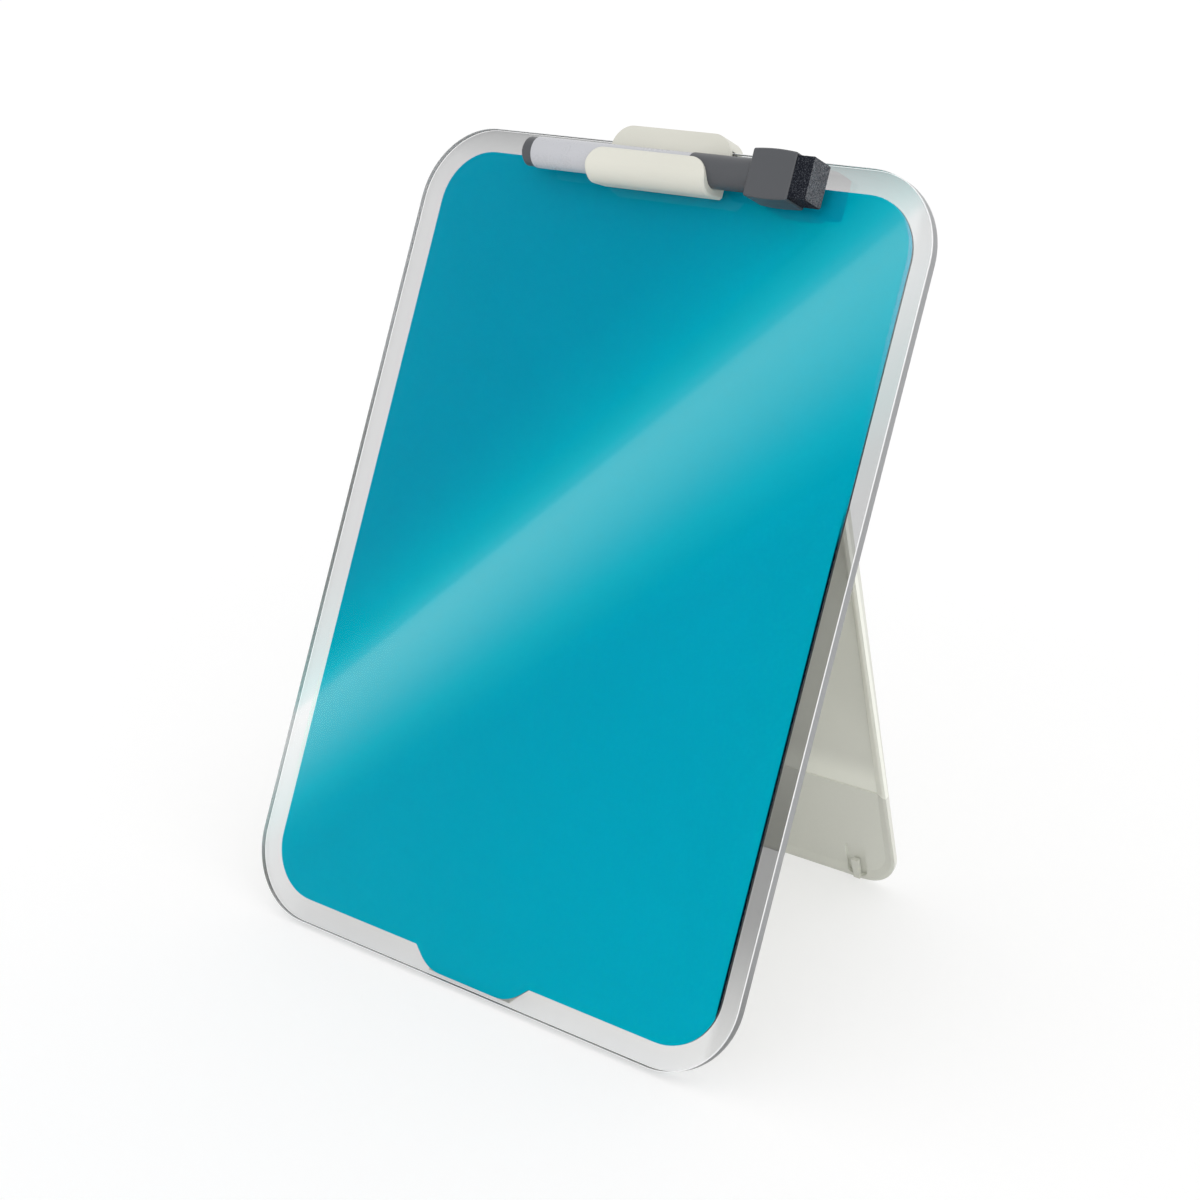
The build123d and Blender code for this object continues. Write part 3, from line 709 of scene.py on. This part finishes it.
floor_mesh = bmesh.new()
bmesh.ops.create_grid(floor_mesh, x_segments=1, y_segments=1, size=15)
floor_data = bpy.data.meshes.new("floor")
floor_mesh.to_mesh(floor_data)
floor_mesh.free()
floor = bpy.data.objects.new("floor", floor_data)
bpy.context.scene.collection.objects.link(floor)

floor_finish = Finish("floor", Roughness=1.0, IOR=1.0)
floor_finish.feed("Emission Color", (1, 1, 1, 1))
shown = floor_finish.seen()
lit, seen = ((level, level, level, 1) for level in (floor_albedo, floor_seen_albedo))
floor_finish.feed("Base Color", floor_finish.mix(shown, lit, seen))
floor_finish.feed("Emission Strength", floor_seen_glow * shown)
floor_data.materials.append(floor_finish.material)

# %% [markdown]
# ## Lights
#
# The world is an even, soft light, and shows white behind the easel. A wide soft sun stands
# on the right, which makes the sides that face it brighter than the front, and a weaker one
# in front, low enough to reach under the board. A sun doesn't fade with distance, so the
# floor stays white far away.

# %% World and suns
world_light = 0.86
world = bpy.data.worlds.new("studio")
bpy.context.scene.world = world
world.use_nodes = True
sky = Graph(world.node_tree)
sky_shader = world.node_tree.nodes["Background"]
sky.join((1, 1, 1, 1), sky_shader.inputs[0])
sky.join(world_light + (1 - world_light) * sky.seen(), sky_shader.inputs[1])


def soft_sun(name, towards, strength, spread):
    data = bpy.data.lights.new(name, "SUN")
    data.energy = strength
    data.angle = math.radians(spread)
    lamp = bpy.data.objects.new(name, data)
    lamp.rotation_euler = Vector(towards).to_track_quat("Z", "Y").to_euler()
    bpy.context.scene.collection.objects.link(lamp)


soft_sun("side_sun", (0.85, -0.5, 0.28), 0.55, 55)
soft_sun("front_sun", (0.1, -0.9, 0.25), 0.28, 60)

# %% [markdown]
# ## Reflection card
#
# The glass mirrors what stands in front of it on the left: a dark card with one bright
# strip, as a studio sets up to give a panel its sloping streak of light. The strip rises
# softly, has one sharp edge, and fades again. Its light is set with less red towards both
# sides. The card stands where the camera's mirror image sees the streak's line on the
# glass. Only polished glass shows it, so it neither lights the easel nor shades it.

# %% Reflection card
card_reach = 2.4
mirror_eye = camera.location - 2 * (camera.location - board_foot).dot(out_of_board) * out_of_board
streak_along = Vector((0.687, 0.727, 0))
card_before, card_after, card_half = 260 * mm, 300 * mm, 260 * mm

card_mesh = bmesh.new()
for across, along in ((-card_before, -card_half), (card_after, -card_half),
                      (card_after, card_half), (-card_before, card_half)):
    on_glass = stand_up @ (streak_start + streak_across * across + streak_along * along)
    card_mesh.verts.new(mirror_eye + (on_glass - mirror_eye) * card_reach)
card_face = card_mesh.faces.new(card_mesh.verts)
card_uv = card_mesh.loops.layers.uv.new("card")
for loop, uv in zip(card_face.loops, ((0, 0), (1, 0), (1, 1), (0, 1))):
    loop[card_uv].uv = uv
card_data = bpy.data.meshes.new("reflection_card")
card_mesh.to_mesh(card_data)
card_mesh.free()
card = bpy.data.objects.new("reflection_card", card_data)
bpy.context.scene.collection.objects.link(card)
for ray in ("camera", "diffuse", "transmission", "volume_scatter", "shadow"):
    setattr(card, f"visible_{ray}", False)

# %% The card's streak
card_edge = card_before / (card_before + card_after)
fan_start, fan_slope = 1.461, 0.893  # the streak widens along its length
card_glow_strength = 5.9
card_finish = Finish("reflection_card")


def card_stop(distance, level, red):
    """A stop of the card's ramp, so many millimetres past the streak's sharp edge."""
    return (distance * mm / (card_before + card_after) + card_edge, (red, level, level, 1))


card_place = card_finish.node("ShaderNodeTexCoord", output=2)
card_across, card_along = (card_finish.axis(card_place, number) for number in (0, 1))
fanned = (card_across - card_edge) * (fan_start - fan_slope * card_along) + card_edge
streak = card_finish.node(
    "ShaderNodeValToRGB",
    {
        "stops": [
            card_stop(-66, 0.00, 0.0),
            card_stop(-45, 0.03, 0.0),
            card_stop(-29, 0.16, 0.0),
            card_stop(-14, 0.34, 0.0),
            card_stop(-6, 0.55, 0.08),
            card_stop(-1, 0.66, 0.36),
            card_stop(0, 0.82, 0.72),
            card_stop(5, 0.84, 0.82),
            card_stop(15, 0.72, 0.62),
            card_stop(23, 0.56, 0.42),
            card_stop(30, 0.42, 0.20),
            card_stop(38, 0.32, 0.05),
            card_stop(49, 0.09, 0.0),
            card_stop(62, 0.0, 0.0),
        ]
    },
    {"Fac": fanned},
)
card_glow = card_finish.node(
    "ShaderNodeEmission", sockets={"Color": streak, "Strength": card_glow_strength}
)
card_clear = card_finish.node("ShaderNodeBsdfTransparent")
polished_only = card_finish.node("ShaderNodeLightPath", output=4)
card_shown = card_finish.node(
    "ShaderNodeMixShader", sockets={0: polished_only, 1: card_clear, 2: card_glow}
)
card_finish.join(card_shown, card_finish.output.inputs[0])
card_data.materials.append(card_finish.material)
print("The card stands at", tuple(round(v, 2) for v in card_data.vertices[0].co))

# %% Colour view
bpy.context.scene.view_settings.view_transform = "Standard"
